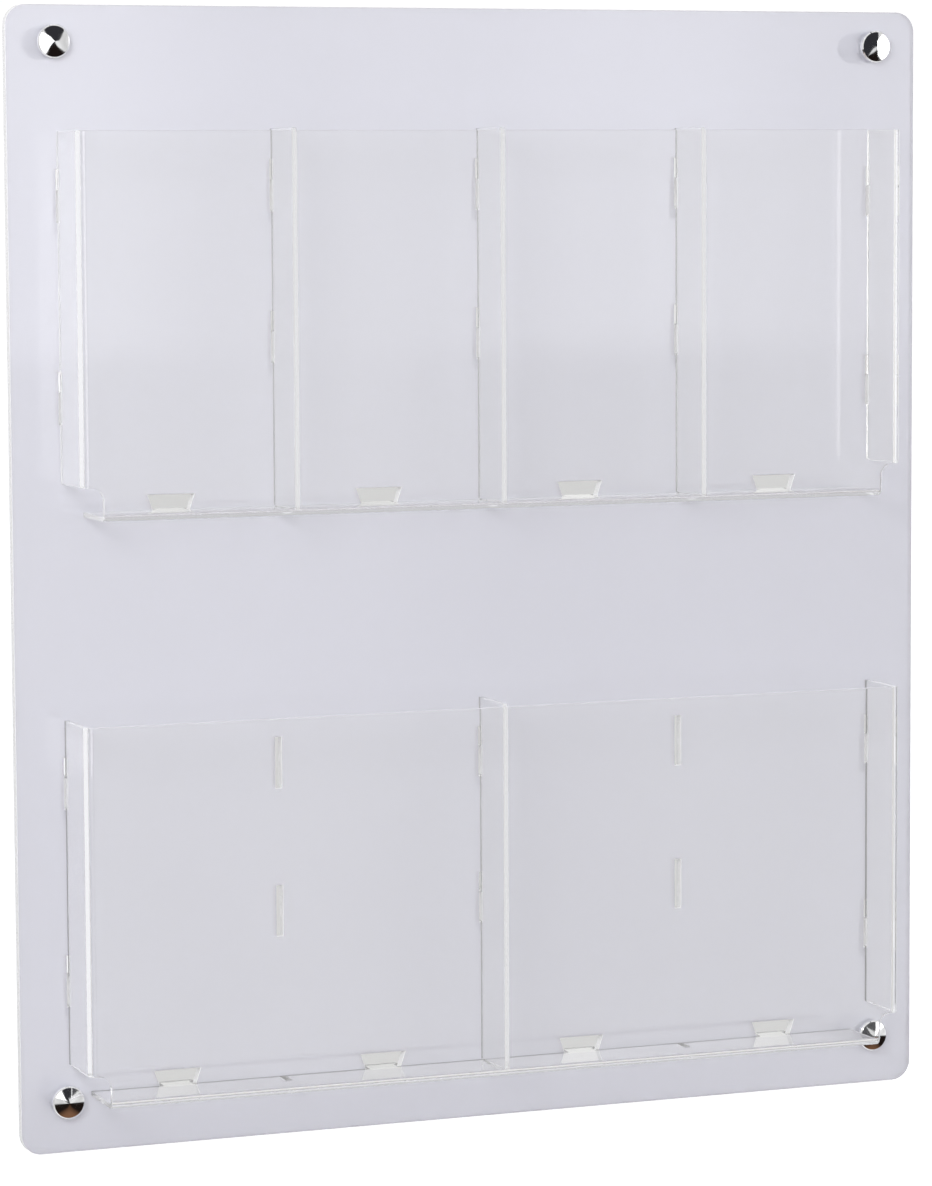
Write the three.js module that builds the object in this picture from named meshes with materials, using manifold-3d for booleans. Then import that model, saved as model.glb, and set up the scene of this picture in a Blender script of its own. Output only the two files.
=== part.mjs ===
// Wall-mounted two-tier brochure rack: a frosted back panel on four standoffs, two clear
// line-bent pockets hooked into the panel, and lift-out dividers between the compartments.
// Millimetres, +Z up, the front faces -Y, the wall is the plane Y = 0 and the origin is the
// panel's centre projected onto the wall.

import * as THREE from "three";
import { mergeVertices } from "three/addons/utils/BufferGeometryUtils.js";
import Module from "manifold-3d";

const wasm = await Module();
wasm.setup();

// ---------------------------------------------------------------- driving dimensions
const PANEL = { width: 572, height: 660, thick: 6, corner: 12 };
const SHEET = 3; // clear sheet of the pockets and dividers
const GAP = 0.15; // between pieces that rest on each other
const SLACK = 0.4; // between pieces that slide in each other

const STANDOFF = {
  diameter: 19,
  barrelLength: 25,
  capHeight: 5,
  washer: 1,
  insetSide: 27.5,
  insetTop: 21,
  insetBottom: 30,
};

const TIER = {
  width: 514,
  height: 220,
  depth: 43, // from the panel's front face to the pocket's front face
  bendRadius: 5, // outside of the line bends
  flangeBottom: 19.5, // the side flanges end this far above the shelf's underside
  notchInset: 13, // shelf and lower front stop this far inside the side flanges
  notchRadius: 7.5,
};
const TIER_BASES = { upper: 38.5, lower: -298 }; // height of each shelf's underside

const SLOT = { width: 3.8, height: 30 };
const SIDE_SLOT_BOTTOMS = [53.3, 168.3]; // above the shelf's underside
const DIVIDER_SLOT_BOTTOMS = [86.2, 173.8];
const HOOK = { neck: 18, reach: 4, drop: 6.6 };

const ROOT = 1; // hooks and tabs are joined this far inside their sheet

const SHELF_TAB = { neck: 18, head: 24, chamfer: 1.5 };
const TAB_OPENING = { bottomWidth: 20, topWidth: 28, height: 12 };

const DIVIDER = { depth: 39, proud: 1.5, tabLength: 10, tabFromPanel: 3 };

// ---------------------------------------------------------------- derived positions
const PANEL_BACK = -(STANDOFF.barrelLength + STANDOFF.washer);
const PANEL_FRONT = PANEL_BACK - PANEL.thick;
const POCKET_FRONT = PANEL_FRONT - TIER.depth;
const SHEET_REAR = PANEL_FRONT - SLACK; // rear edge of flanges, shelves and dividers
const FINGER_FRONT = PANEL_BACK + SLACK;
const FINGER_REAR = FINGER_FRONT + HOOK.reach;
const HALF_TIER = TIER.width / 2;
const HALF_SHELF = HALF_TIER - TIER.notchInset;
const FLANGE_CENTRE = HALF_TIER - SHEET / 2;
const DIVIDER_PITCH = FLANGE_CENTRE / 2;
const DIVIDER_PLACES = { left: -DIVIDER_PITCH, centre: 0, right: DIVIDER_PITCH };
const TAB_PLACES = [-1.5, -0.5, 0.5, 1.5].map((n) => n * DIVIDER_PITCH);

const HOLE_X = PANEL.width / 2 - STANDOFF.insetSide;
const HOLE_TOP = PANEL.height / 2 - STANDOFF.insetTop;
const HOLE_BOTTOM = -PANEL.height / 2 + STANDOFF.insetBottom;
const STANDOFF_PLACES = {
  top_left: [-HOLE_X, HOLE_TOP],
  top_right: [HOLE_X, HOLE_TOP],
  bottom_left: [-HOLE_X, HOLE_BOTTOM],
  bottom_right: [HOLE_X, HOLE_BOTTOM],
};

// ---------------------------------------------------------------- finishes
const finish = (color, roughness, metalness, opacity = 1) =>
  new THREE.MeshStandardMaterial({ color, roughness, metalness, opacity, transparent: opacity < 1 });

const FROSTED = finish(0xdcdde6, 0.45, 0, 0.85);
const CLEAR = finish(0xf2f5f8, 0.05, 0, 0.35);
const CHROME = finish(0xd8dadd, 0.12, 1);
const STEEL = finish(0xa9acb0, 0.35, 1);
const NYLON = finish(0xf0f0ee, 0.5, 0, 0.7);

// ---------------------------------------------------------------- shape helpers
const v2 = (x, y) => new THREE.Vector2(x, y);

function outline(points) {
  return new THREE.Shape(points.map(([x, y]) => v2(x, y)));
}

function extrude(shape, depth) {
  return new THREE.ExtrudeGeometry(shape, { depth, bevelEnabled: false, curveSegments: 8 });
}

// A shape drawn in X and Z, standing up, from the plane Y = front back towards the wall.
function facing(shape, thick, front) {
  return extrude(shape, thick)
    .rotateX(Math.PI / 2)
    .translate(0, front + thick, 0);
}

// A shape drawn in Y and Z, running along X from the plane X = left.
function sideways(shape, thick, left) {
  const turn = new THREE.Matrix4().makeBasis(
    new THREE.Vector3(0, 1, 0),
    new THREE.Vector3(0, 0, 1),
    new THREE.Vector3(1, 0, 0),
  );
  return extrude(shape, thick).applyMatrix4(turn).translate(left, 0, 0);
}

// A shape drawn in X and Y, lying flat from the height Z = bottom upwards.
function flat(shape, thick, bottom) {
  return extrude(shape, thick).translate(0, 0, bottom);
}

// A closed profile of [radius, y] points turned about the Y axis.
function turned(profile, segments) {
  return new THREE.LatheGeometry(profile.map(([r, y]) => v2(r, y)), segments);
}

// ---------------------------------------------------------------- solids
function merged(geometry) {
  const bare = geometry.clone();
  bare.deleteAttribute("normal");
  bare.deleteAttribute("uv");
  return mergeVertices(bare, 1e-4);
}

function solid(geometry) {
  const bare = merged(geometry);
  const vertProperties = new Float32Array(bare.attributes.position.array);
  const triVerts = new Uint32Array(bare.index.array);
  const mesh = new wasm.Mesh({ numProp: 3, vertProperties, triVerts });
  mesh.merge();
  return new wasm.Manifold(mesh);
}

function geometryOf(manifold) {
  const mesh = manifold.getMesh();
  const geometry = new THREE.BufferGeometry();
  geometry.setAttribute("position", new THREE.BufferAttribute(mesh.vertProperties, 3));
  geometry.setIndex(new THREE.BufferAttribute(mesh.triVerts, 1));
  geometry.computeVertexNormals();
  return geometry;
}

function joined(geometries) {
  return geometries.map(solid).reduce((whole, piece) => whole.add(piece));
}

function mesh(name, geometry, material) {
  const node = new THREE.Mesh(geometry, material);
  node.name = name;
  return node;
}

// ---------------------------------------------------------------- back panel
function roundedRectangle(width, height, radius) {
  const x = width / 2 - radius;
  const z = height / 2 - radius;
  const shape = new THREE.Shape();
  shape.absarc(x, z, radius, 0, Math.PI / 2, false);
  shape.absarc(-x, z, radius, Math.PI / 2, Math.PI, false);
  shape.absarc(-x, -z, radius, Math.PI, Math.PI * 1.5, false);
  shape.absarc(x, -z, radius, Math.PI * 1.5, Math.PI * 2, false);
  return shape;
}

function slotOutline(x, bottom) {
  const half = SLOT.width / 2;
  const top = bottom + SLOT.height;
  return outline([[x - half, bottom], [x + half, bottom], [x + half, top], [x - half, top]]);
}

function tabOpeningOutline(x, shelfUnderside) {
  const bottom = shelfUnderside - SLACK;
  const top = bottom + TAB_OPENING.height;
  const low = TAB_OPENING.bottomWidth / 2;
  const high = TAB_OPENING.topWidth / 2;
  return outline([[x - low, bottom], [x + low, bottom], [x + high, top], [x - high, top]]);
}

function panelOpenings() {
  const studClearance = 4.5;
  const openings = Object.values(STANDOFF_PLACES).map(([x, z]) =>
    new THREE.Shape().absarc(x, z, studClearance, 0, Math.PI * 2, false),
  );
  for (const base of Object.values(TIER_BASES)) {
    for (const bottom of SIDE_SLOT_BOTTOMS) {
      openings.push(slotOutline(-FLANGE_CENTRE, base + bottom));
      openings.push(slotOutline(FLANGE_CENTRE, base + bottom));
    }
    for (const x of Object.values(DIVIDER_PLACES)) {
      DIVIDER_SLOT_BOTTOMS.forEach((bottom) => openings.push(slotOutline(x, base + bottom)));
    }
    TAB_PLACES.forEach((x) => openings.push(tabOpeningOutline(x, base)));
  }
  return openings;
}

function backPanel() {
  const plate = roundedRectangle(PANEL.width, PANEL.height, PANEL.corner);
  const past = 1; // cutters run this far past both faces
  const cutters = panelOpenings().map((shape) =>
    facing(shape, PANEL.thick + 2 * past, PANEL_FRONT - past),
  );
  const body = solid(facing(plate, PANEL.thick, PANEL_FRONT)).subtract(joined(cutters));
  return mesh("back_panel", geometryOf(body), FROSTED);
}

// ---------------------------------------------------------------- hooks
// Outline in Y and Z of a hook: a neck through the panel's slot and a finger down behind it.
// It starts at the sheet's rear edge, or a little inside the sheet where it is joined on.
function hookPoints(slotBottom, start) {
  const low = slotBottom + SLACK;
  const top = low + HOOK.neck;
  const tip = slotBottom - HOOK.drop;
  const lead = 1.5;
  return [
    [start, low],
    [FINGER_FRONT, low],
    [FINGER_FRONT, tip + lead],
    [FINGER_FRONT + lead, tip],
    [FINGER_REAR, tip],
    [FINGER_REAR, top - lead],
    [FINGER_REAR - lead, top],
    [start, top],
  ];
}

// ---------------------------------------------------------------- pockets
// Plan of the two side flanges and the front, with line bends at both corners.
function wrapPlan() {
  const outer = TIER.bendRadius;
  const inner = outer - SHEET;
  const right = HALF_TIER - outer;
  const bendY = POCKET_FRONT + outer;
  const shape = new THREE.Shape();
  shape.moveTo(-HALF_TIER, SHEET_REAR);
  shape.absarc(-right, bendY, outer, Math.PI, Math.PI * 1.5, false);
  shape.absarc(right, bendY, outer, Math.PI * 1.5, Math.PI * 2, false);
  shape.lineTo(HALF_TIER, SHEET_REAR);
  shape.lineTo(HALF_TIER - SHEET, SHEET_REAR);
  shape.absarc(right, bendY, inner, Math.PI * 2, Math.PI * 1.5, true);
  shape.absarc(-right, bendY, inner, Math.PI * 1.5, Math.PI, true);
  shape.lineTo(-HALF_TIER + SHEET, SHEET_REAR);
  return shape;
}

// The lower front between the relief notches, up to the height where the wrap takes over.
function lowerFront() {
  const { bendRadius, flangeBottom, notchRadius } = TIER;
  const arcX = HALF_SHELF + notchRadius;
  const arcZ = flangeBottom - notchRadius;
  const shoulder = HALF_TIER - bendRadius;
  const overlap = 10; // runs this far up into the wrap
  const top = flangeBottom + overlap;
  const shape = new THREE.Shape();
  shape.moveTo(-HALF_SHELF, bendRadius);
  shape.lineTo(HALF_SHELF, bendRadius);
  shape.absarc(arcX, arcZ, notchRadius, Math.PI, Math.PI / 2, true);
  shape.lineTo(shoulder, flangeBottom);
  shape.lineTo(shoulder, top);
  shape.lineTo(-shoulder, top);
  shape.lineTo(-shoulder, flangeBottom);
  shape.absarc(-arcX, arcZ, notchRadius, Math.PI / 2, 0, true);
  return shape;
}

// Side view of the bottom bend and the shelf.
function shelfProfile() {
  const outer = TIER.bendRadius;
  const inner = outer - SHEET;
  const overlap = 1;
  const bendY = POCKET_FRONT + outer;
  const shape = new THREE.Shape();
  shape.moveTo(POCKET_FRONT, outer + overlap);
  shape.absarc(bendY, outer, outer, Math.PI, Math.PI * 1.5, false);
  shape.lineTo(SHEET_REAR, 0);
  shape.lineTo(SHEET_REAR, SHEET);
  shape.absarc(bendY, outer, inner, Math.PI * 1.5, Math.PI, true);
  shape.lineTo(POCKET_FRONT + SHEET, outer + overlap);
  return shape;
}

// Plan of a shelf tab: a neck through the panel's opening and a wider head behind it.
function shelfTabPlan(x) {
  const start = SHEET_REAR - ROOT;
  const neck = SHELF_TAB.neck / 2;
  const head = SHELF_TAB.head / 2;
  const rear = FINGER_REAR;
  const { chamfer } = SHELF_TAB;
  return outline([
    [x - neck, start],
    [x + neck, start],
    [x + neck, FINGER_FRONT],
    [x + head, FINGER_FRONT],
    [x + head, rear - chamfer],
    [x + head - chamfer, rear],
    [x - head + chamfer, rear],
    [x - head, rear - chamfer],
    [x - head, FINGER_FRONT],
    [x - neck, FINGER_FRONT],
  ]);
}

function shelfSlotPlan(x) {
  const half = SLOT.width / 2;
  const rear = PANEL_FRONT - DIVIDER.tabFromPanel + SLACK;
  const front = rear - DIVIDER.tabLength - 2 * SLACK;
  return outline([[x - half, front], [x + half, front], [x + half, rear], [x - half, rear]]);
}

function pocket(name) {
  const pieces = [
    flat(wrapPlan(), TIER.height - TIER.flangeBottom, TIER.flangeBottom),
    facing(lowerFront(), SHEET, POCKET_FRONT),
    sideways(shelfProfile(), 2 * HALF_SHELF, -HALF_SHELF),
  ];
  for (const bottom of SIDE_SLOT_BOTTOMS) {
    const hook = outline(hookPoints(bottom, SHEET_REAR - ROOT));
    pieces.push(sideways(hook, SHEET, -HALF_TIER));
    pieces.push(sideways(hook, SHEET, HALF_TIER - SHEET));
  }
  for (const x of TAB_PLACES) {
    pieces.push(flat(shelfTabPlan(x), SHEET, 0));
  }
  let body = joined(pieces);
  const past = 1; // cutters run this far past both faces
  for (const x of Object.values(DIVIDER_PLACES)) {
    body = body.subtract(solid(flat(shelfSlotPlan(x), SHEET + 2 * past, -past)));
  }
  return mesh(name, geometryOf(body), CLEAR);
}

// ---------------------------------------------------------------- dividers
function dividerShape() {
  const front = PANEL_FRONT - DIVIDER.depth;
  const foot = SHEET + SLACK;
  const top = TIER.height + DIVIDER.proud;
  const tabRear = PANEL_FRONT - DIVIDER.tabFromPanel;
  const tabFront = tabRear - DIVIDER.tabLength;
  const [lowSlot, highSlot] = DIVIDER_SLOT_BOTTOMS;
  return outline([
    [front, foot],
    [tabFront, foot],
    [tabFront, SLACK],
    [tabRear, SLACK],
    [tabRear, foot],
    [SHEET_REAR, foot],
    ...hookPoints(lowSlot, SHEET_REAR),
    ...hookPoints(highSlot, SHEET_REAR),
    [SHEET_REAR, top],
    [front, top],
  ]);
}

function divider(name, x) {
  const node = mesh(name, sideways(dividerShape(), SHEET, -SHEET / 2), CLEAR);
  node.position.x = x;
  return node;
}

function tier(level, dividers) {
  const group = new THREE.Group();
  group.position.z = TIER_BASES[level];
  group.add(pocket(`${level}_pocket`));
  for (const place of dividers) {
    group.add(divider(`${level}_divider_${place}`, DIVIDER_PLACES[place]));
  }
  return group;
}

// ---------------------------------------------------------------- standoffs
const STUD_RADIUS = 3.9;
const BORE_RADIUS = 4.2;
const SOCKET_DEPTH = 3; // of the stud's seat in the cap
const STUD_ENGAGEMENT = 10; // of the stud in the barrel
const WEB = 4; // the barrel's rear wall, which the wall screw's head clamps
const WASHER_RADIUS = 8;
const SIDES = { cap: 24, barrel: 24, stud: 16, washer: 16, screw: 12 };
const BARREL_FRONT = -STANDOFF.barrelLength + GAP;
const CAP_BACK = PANEL_FRONT - STANDOFF.washer - GAP;
const CAP_FACE = CAP_BACK - STANDOFF.capHeight;
const OUTER = STANDOFF.diameter / 2;

function barrelProfile() {
  const screwHole = 2.5;
  const edge = 0.6;
  return [
    [screwHole, 0],
    [screwHole, -WEB],
    [BORE_RADIUS, -WEB],
    [BORE_RADIUS, BARREL_FRONT],
    [OUTER - edge, BARREL_FRONT],
    [OUTER, BARREL_FRONT + edge],
    [OUTER, -edge],
    [OUTER - edge, 0],
    [screwHole, 0],
  ];
}

// The face is a shallow cone with its tip at the front.
function capProfile() {
  const bevel = 0.7;
  const edge = 0.3;
  const cone = 1.4;
  const socket = CAP_BACK - SOCKET_DEPTH;
  return [
    [0, socket],
    [BORE_RADIUS, socket],
    [BORE_RADIUS, CAP_BACK],
    [OUTER - edge, CAP_BACK],
    [OUTER, CAP_BACK - edge],
    [OUTER, CAP_FACE + cone + bevel],
    [OUTER - bevel, CAP_FACE + cone],
    [0, CAP_FACE],
  ];
}

function studProfile() {
  const front = CAP_BACK - SOCKET_DEPTH + GAP;
  const rear = BARREL_FRONT + STUD_ENGAGEMENT;
  const edge = 0.6;
  return [
    [0, front],
    [STUD_RADIUS - edge, front],
    [STUD_RADIUS, front + edge],
    [STUD_RADIUS, rear - edge],
    [STUD_RADIUS - edge, rear],
    [0, rear],
  ];
}

function screwProfile() {
  const head = 3.7;
  const headHeight = 2.6;
  const round = 1;
  const seat = -WEB - GAP;
  const shank = 2.1;
  const length = 25;
  const point = 5;
  return [
    [0, seat - headHeight],
    [head - round, seat - headHeight],
    [head, seat - headHeight + round],
    [head, seat],
    [shank, seat],
    [shank, seat + length - point],
    [0, seat + length],
  ];
}

function washerProfile(from, to) {
  const bore = 4.3;
  return [[bore, from], [bore, to], [WASHER_RADIUS, to], [WASHER_RADIUS, from], [bore, from]];
}

// Face winding follows the profile's direction, so a profile is turned whichever way round
// gives a positive volume.
function turnedOutward(profile, segments) {
  const geometry = turned(profile, segments);
  return volume(geometry) > 0 ? geometry : turned([...profile].reverse(), segments);
}

function volume(geometry) {
  const { position } = geometry.attributes;
  const corners = [new THREE.Vector3(), new THREE.Vector3(), new THREE.Vector3()];
  let total = 0;
  for (let i = 0; i < geometry.index.count; i += 3) {
    corners.forEach((corner, k) => corner.fromBufferAttribute(position, geometry.index.getX(i + k)));
    total += corners[0].dot(corners[1].cross(corners[2])) / 6;
  }
  return total;
}

function standoff(place, [x, z]) {
  const frontWasher = washerProfile(PANEL_FRONT - GAP, CAP_BACK + GAP);
  const rearWasher = washerProfile(BARREL_FRONT - GAP, PANEL_BACK + GAP);
  const pieces = [
    ["cap", capProfile(), SIDES.cap, CHROME],
    ["stud", studProfile(), SIDES.stud, STEEL],
    ["front_washer", frontWasher, SIDES.washer, NYLON],
    ["rear_washer", rearWasher, SIDES.washer, NYLON],
    ["barrel", barrelProfile(), SIDES.barrel, CHROME],
    ["wall_screw", screwProfile(), SIDES.screw, STEEL],
  ];
  const group = new THREE.Group();
  group.position.set(x, 0, z);
  for (const [piece, profile, segments, material] of pieces) {
    group.add(mesh(`${piece}_${place}`, merged(turnedOutward(profile, segments)), material));
  }
  return group;
}

// ---------------------------------------------------------------- whole rack
const rack = new THREE.Group();
rack.add(backPanel());
rack.add(tier("upper", ["left", "centre", "right"]));
rack.add(tier("lower", ["centre"]));
for (const [place, position] of Object.entries(STANDOFF_PLACES)) {
  rack.add(standoff(place, position));
}

export default rack;
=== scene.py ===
"""Looks of a two-tier wall brochure rack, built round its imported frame.

A frosted back panel stands off the wall on four polished standoffs. Two clear pockets, each
bent from one sheet, hook into the panel, and clear dividers hook in between the compartments.
Metres in the scene and millimetres in the drawings, +Z up, the front faces -Y and the wall is
the plane Y = 0.
"""

import logging
import math
from collections.abc import Iterable, Sequence
from dataclasses import dataclass, field
from enum import Enum

import bpy
from mathutils import Matrix, Vector
from mathutils.geometry import delaunay_2d_cdt


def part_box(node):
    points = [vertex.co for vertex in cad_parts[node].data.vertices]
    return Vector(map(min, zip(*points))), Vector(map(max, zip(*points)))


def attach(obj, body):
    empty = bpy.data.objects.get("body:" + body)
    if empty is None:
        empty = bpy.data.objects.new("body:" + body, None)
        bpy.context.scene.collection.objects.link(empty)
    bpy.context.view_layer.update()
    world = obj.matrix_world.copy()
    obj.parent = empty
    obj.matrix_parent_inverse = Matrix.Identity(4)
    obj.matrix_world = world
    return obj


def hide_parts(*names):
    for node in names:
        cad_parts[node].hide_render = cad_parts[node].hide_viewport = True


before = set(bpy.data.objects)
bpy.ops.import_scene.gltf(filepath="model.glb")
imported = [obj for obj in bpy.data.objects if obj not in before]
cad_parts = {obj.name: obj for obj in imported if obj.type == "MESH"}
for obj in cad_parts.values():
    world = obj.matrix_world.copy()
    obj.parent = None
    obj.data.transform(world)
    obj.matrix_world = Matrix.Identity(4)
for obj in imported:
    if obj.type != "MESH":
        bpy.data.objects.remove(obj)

Flat = tuple[float, float]
Loop = list[Flat]
Triple = tuple[float, float, float]
Colour = tuple[float, float, float, float]
Axes = tuple[Vector, Vector, Vector, Vector]
Socket = bpy.types.NodeSocket
Material = bpy.types.Material
Piece = bpy.types.Object

LOG = logging.getLogger("rack")
MM = 0.001
UP = Vector((0, 0, 1))
ACROSS = Vector((1, 0, 0))
SMOOTH_TURN = math.cos(math.radians(30))
CLOSE = 1e-6
TOUCHING = 1e-4
ACRYLIC_IOR = 1.49
NYLON_IOR = 1.53


class Level(Enum):
    """The two tiers."""

    UPPER = "upper"
    LOWER = "lower"


class Place(Enum):
    """The four standoffs, in the order in which their pattern numbers them."""

    TOP_LEFT = "top_left"
    TOP_RIGHT = "top_right"
    BOTTOM_LEFT = "bottom_left"
    BOTTOM_RIGHT = "bottom_right"


class Cut(Enum):
    """Which faces of a cut sheet a material covers."""

    FACE = 0
    EDGE = 1


# ------------------------------------------------------------------ node trees
class Wiring:
    """Adds nodes to one tree and joins them."""

    def __init__(self, tree: bpy.types.NodeTree) -> None:
        """Keeps the tree and empties it."""
        self.tree = tree
        tree.nodes.clear()

    def add(self, kind: str, values: dict | None = None, **settings: object) -> bpy.types.Node:
        """Adds a node.

        Args:
            kind: The node's type name.
            values: Its inputs by name or index, each a socket to join or a plain value.
            settings: The node's own properties.

        Returns:
            The new node.
        """
        node = self.tree.nodes.new(kind)
        for name, value in settings.items():
            setattr(node, name, value)
        for key, value in (values or {}).items():
            if isinstance(value, Socket):
                self.tree.links.new(value, node.inputs[key])
            else:
                node.inputs[key].default_value = value
        return node

    def math(self, operation: str, *values: object, clamp: bool = False) -> Socket:
        """Adds a Math node and returns its result."""
        node = self.add("ShaderNodeMath", dict(enumerate(values)), operation=operation, use_clamp=clamp)
        return node.outputs[0]

    def times(self, first: object, second: object) -> Socket:
        """The product of two values."""
        return self.math("MULTIPLY", first, second)

    def minus(self, first: object, second: object) -> Socket:
        """The first value less the second."""
        return self.math("SUBTRACT", first, second)

    def ramp(self, value: object, low: float, high: float, start: object = 0.0, end: object = 1.0) -> Socket:
        """Maps a value from low and high to start and end, held at both ends."""
        return self.add("ShaderNodeMapRange", {0: value, 1: low, 2: high, 3: start, 4: end}).outputs[0]

    def blend(self, share: object, first: object, second: object) -> Socket:
        """Mixes two colours, with that share of the second."""
        return self.add("ShaderNodeMix", {0: share, 6: first, 7: second}, data_type="RGBA").outputs[2]

    def mix(self, share: Socket, first: Socket, second: Socket) -> Socket:
        """Mixes two shaders, with that share of the second."""
        return self.add("ShaderNodeMixShader", {0: share, 1: first, 2: second}).outputs[0]

    def parts(self, vector: Socket) -> Sequence[Socket]:
        """The X, Y and Z of a vector."""
        return self.add("ShaderNodeSeparateXYZ", {0: vector}).outputs

    def place(self, kind: str = "Object") -> Sequence[Socket]:
        """The X, Y and Z of a texture coordinate."""
        return self.parts(self.add("ShaderNodeTexCoord").outputs[kind])

    def ray(self, fact: str) -> Socket:
        """A fact about the ray that meets the surface."""
        return self.add("ShaderNodeLightPath").outputs[fact]

    def noise(self, scale: float, stretch: Flat = (1.0, 1.0), detail: float = 3.0) -> Socket:
        """Noise in the rack's own frame.

        Args:
            scale: Waves a metre.
            stretch: How many times closer the waves lie along X and along Z.
            detail: Octaves.

        Returns:
            A value round one half.
        """
        where = self.add("ShaderNodeTexCoord").outputs["Object"]
        mapped = self.add("ShaderNodeMapping", {"Vector": where, "Scale": (stretch[0], 1.0, stretch[1])})
        values = {"Vector": mapped.outputs[0], "Scale": scale, "Detail": detail}
        return self.add("ShaderNodeTexNoise", values).outputs[0]

    def relief(self, height: Socket, strength: float, depth: float) -> Socket:
        """The normal of a bumped surface, whose bumps are that deep in millimetres."""
        values = {"Height": height, "Strength": strength, "Distance": depth * MM}
        return self.add("ShaderNodeBump", values).outputs[0]

    def body(self, colour: Socket, roughness: Socket, relief: Socket, more: dict[str, float]) -> Socket:
        """Adds a Principled shader and returns it; more holds its other inputs by name."""
        own = {"Base Color": colour, "Roughness": roughness, "Normal": relief}
        return self.add("ShaderNodeBsdfPrincipled", {**own, **more}).outputs[0]


def grey(level: float) -> Colour:
    """A neutral colour of that level."""
    return (level, level, level, 1.0)


# ------------------------------------------------------------------ finishes
@dataclass(frozen=True)
class Finish:
    """A material. Each kind of finish builds its own surface."""

    name: str

    def material(self) -> Material:
        """Builds the finish."""
        made = bpy.data.materials.new(self.name)
        made.use_nodes = True
        wiring = Wiring(made.node_tree)
        wiring.add("ShaderNodeOutputMaterial", {"Surface": self.surface(wiring)})
        return made

    def surface(self, wiring: Wiring) -> Socket:
        """Adds the surface to a tree and returns it."""
        raise NotImplementedError


@dataclass(frozen=True)
class ClearFinish(Finish):
    """Clear acrylic with a painted glow: an emission in the tone of its surroundings, standing in for light
    that travels along inside it.

    The painted glow is that tone on upright faces, and on level ones, which the dimmer bench lights.
    """

    # strengths of the painted glow on upright and level faces, and its colour
    glow: Flat = (0.95, 0.74)
    painted_glow_colour: Colour = (0.965, 0.97, 1.0, 1.0)
    upright_to: float = 0.3
    level_from: float = 0.7
    twice_turned: float = 1.5

    def add_painted_glow(self, wiring: Wiring, surface: Socket, lit: object) -> Socket:
        """Adds the painted glow, an emission, for a ray that has turned back twice or more inside.

        Args:
            wiring: The tree to add to.
            surface: The sheet's own shader.
            lit: How much of the painted glow there is.

        Returns:
            The shader.
        """
        normal = wiring.add("ShaderNodeNewGeometry").outputs["Normal"]
        level = wiring.math("ABSOLUTE", wiring.parts(normal)[2])
        strength = wiring.times(wiring.ramp(level, self.upright_to, self.level_from, *self.glow), lit)
        # painted glow: the sheet emits light, though it is no lamp
        light = wiring.add("ShaderNodeEmission", {"Color": self.painted_glow_colour, "Strength": strength})
        with_painted_glow = wiring.math("GREATER_THAN", wiring.ray("Glossy Depth"), self.twice_turned)
        return wiring.mix(with_painted_glow, surface, light.outputs[0])


@dataclass(frozen=True)
class ClearSheet(ClearFinish):
    """The face of a cast sheet: almost colourless, with handling haze and hairline scratches."""

    tint: Colour = (0.99, 0.99, 0.98, 1.0)
    worn_tint: Colour = (0.985, 0.985, 0.975, 1.0)
    polish: float = 0.0
    haze: float = 0.035
    scratch: float = 0.008
    lamp_share: float = 0.985
    feet: tuple[float, ...] = ()
    # share of the painted glow along the bends at the feet
    painted_glow_at_feet: float = 0.8
    foot_height: float = 0.016
    foot_fade: float = 0.003

    def surface(self, wiring: Wiring) -> Socket:
        """Glass to the eye, and a plain clear film to lamps and to bounced light."""
        cloud = wiring.noise(14.0, (1.0, 0.6))
        tint = wiring.blend(wiring.ramp(cloud, 0.5, 0.72), self.tint, self.worn_tint)
        haze = wiring.ramp(cloud, 0.35, 0.75, self.polish, self.haze)
        hairlines = wiring.relief(wiring.noise(260.0, (1.0, 0.07), 2.0), self.scratch, 0.2)
        glass = wiring.body(tint, haze, hairlines, {"IOR": ACRYLIC_IOR, "Transmission Weight": 1.0})
        film = wiring.add("ShaderNodeBsdfTransparent", {"Color": grey(self.lamp_share)}).outputs[0]
        through = wiring.math("ADD", wiring.ray("Is Shadow Ray"), wiring.ray("Is Diffuse Ray"), clamp=True)
        # the painted glow is laid over the glass and its film
        return self.add_painted_glow(wiring, wiring.mix(through, glass, film), self.lit(wiring))

    def lit(self, wiring: Wiring) -> object:
        """How much painted glow the sheet shows at each height: less along the bends at its feet."""
        height = wiring.place()[2]
        half = self.foot_height / 2
        share: object = 1.0
        for foot in self.feet:
            off = wiring.math("ABSOLUTE", wiring.minus(wiring.minus(height, foot), half))
            near = wiring.ramp(off, half, half + self.foot_fade, self.painted_glow_at_feet, 1.0)
            share = wiring.times(share, near)
        return share


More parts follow.
